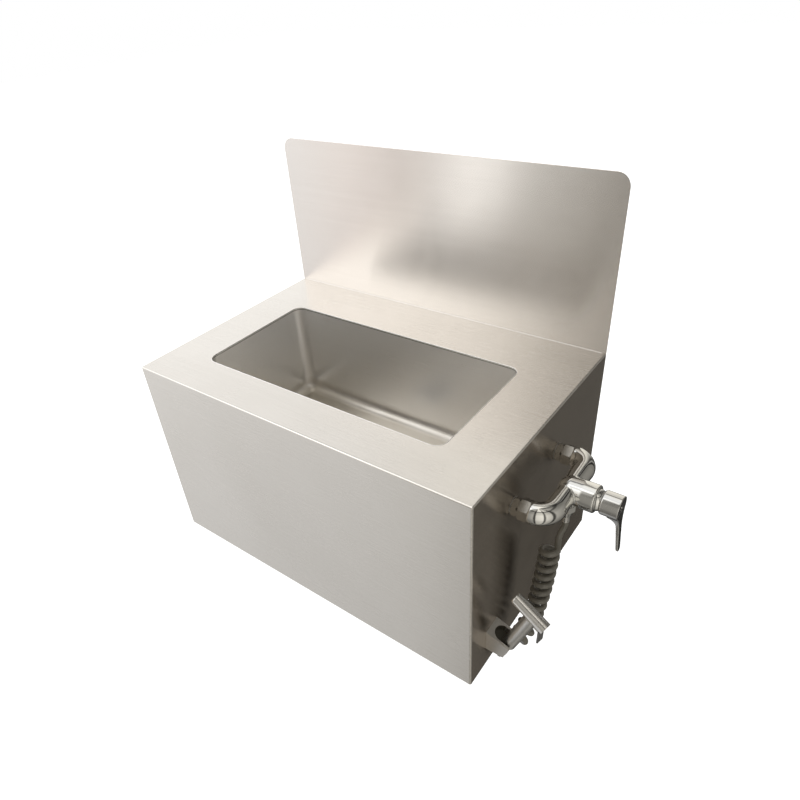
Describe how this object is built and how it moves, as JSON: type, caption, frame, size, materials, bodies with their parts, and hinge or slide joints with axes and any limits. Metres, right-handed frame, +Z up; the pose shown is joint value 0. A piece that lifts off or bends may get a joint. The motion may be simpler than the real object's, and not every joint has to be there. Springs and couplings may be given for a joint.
{
  "type": "wall-mounted wash sink",
  "caption": "Wall-mounted steel wash sink with a deep bowl, a raised splashback, a side lever mixer and a trigger hand spray on a spiral hose.",
  "frame": {"origin": "middle of the four wall bolt holes, on the wall plane", "axes": "+X along the sink towards the mixer end, +Y into the wall, +Z up"},
  "size_m": [0.8405, 0.45, 0.695],
  "materials": {
    "casing_steel": "satin",
    "fitting_steel": "satin",
    "chrome": "gloss",
    "brass": "satin",
    "seal_rubber": "matte",
    "valve_plastic": "matte",
    "hose_plastic": "satin",
    "dark_plastic": "matte"
  },
  "bodies": {
    "sink": {"deck_and_apron": "casing_steel", "left_end_panel": "casing_steel", "right_end_panel": "casing_steel", "splashback": "casing_steel", "bowl": "casing_steel", "sound_pad": "seal_rubber", "upper_wall_rail": "casing_steel", "lower_wall_rail": "casing_steel", "waste_body": "fitting_steel", "waste_gasket": "seal_rubber", "waste_locknut": "brass", "tailpiece": "chrome", "tailpiece_washer": "seal_rubber", "tailpiece_nut": "chrome", "hot_wall_elbow": "brass", "cold_wall_elbow": "brass", "panel_washers": "seal_rubber", "hot_panel_nut": "chrome", "cold_panel_nut": "chrome", "hot_union_nut": "chrome", "cold_union_nut": "chrome", "inlet_seals": "seal_rubber", "mixer_body": "chrome", "cartridge": "valve_plastic", "cartridge_ring": "chrome", "outlet_hose_nut": "chrome", "hose_ferrule": "fitting_steel", "spiral_hose": "hose_plastic", "spray_holder": "fitting_steel", "holder_screws": "fitting_steel"},
    "swivel": {"stem_carrier": "valve_plastic", "stem_pin": "fitting_steel"},
    "lever": {"lever_stem": "fitting_steel", "lever_handle": "chrome", "lever_screw": "fitting_steel", "index_plug": "chrome"},
    "basket": {"strainer_basket": "fitting_steel"},
    "spray": {"spray_handle": "fitting_steel", "spray_barrel": "fitting_steel", "spray_nozzle": "dark_plastic", "spray_end_cap": "fitting_steel", "handle_hose_nut": "fitting_steel", "trigger_pin": "fitting_steel", "valve_spring": "fitting_steel"},
    "trigger": {"trigger": "dark_plastic"},
    "plunger": {"valve_plunger": "fitting_steel"}
  },
  "joints": [
    {"name": "temperature_swivel", "type": "hinge", "parent": "sink", "child": "swivel", "pos_m": [0.446, -0.255, 0.1], "axis": [1, 0, 0], "range_deg": [-45, 45]},
    {"name": "lever_lift", "type": "hinge", "parent": "swivel", "child": "lever", "pos_m": [0.446, -0.255, 0.1], "axis": [0, -1, 0], "range_deg": [0, 16]},
    {"name": "basket_lift", "type": "slide", "parent": "sink", "child": "basket", "axis": [0, 0, 1], "range_m": [0, 0.06]},
    {"name": "spray_lift", "type": "slide", "parent": "sink", "child": "spray", "axis": [0.3584, 0, 0.9336], "range_m": [0, 0.08], "deforming": ["spiral_hose"]},
    {"name": "trigger_press", "type": "hinge", "parent": "spray", "child": "trigger", "pos_m": [0.4338, -0.38782, -0.06441], "axis": [0.1781, 0.9816, -0.0684], "range_deg": [0, 12], "stiffness_Nm_per_rad": 0.4},
    {"name": "valve_press", "type": "slide", "parent": "spray", "child": "plunger", "axis": [-0.9164, 0.1908, 0.3518], "range_m": [0, 0.0025], "deforming": ["valve_spring"]}
  ],
  "couplings": [
    {"joint": "valve_press", "follows": "trigger_press", "m_per_rad": 0.0115}
  ]
}
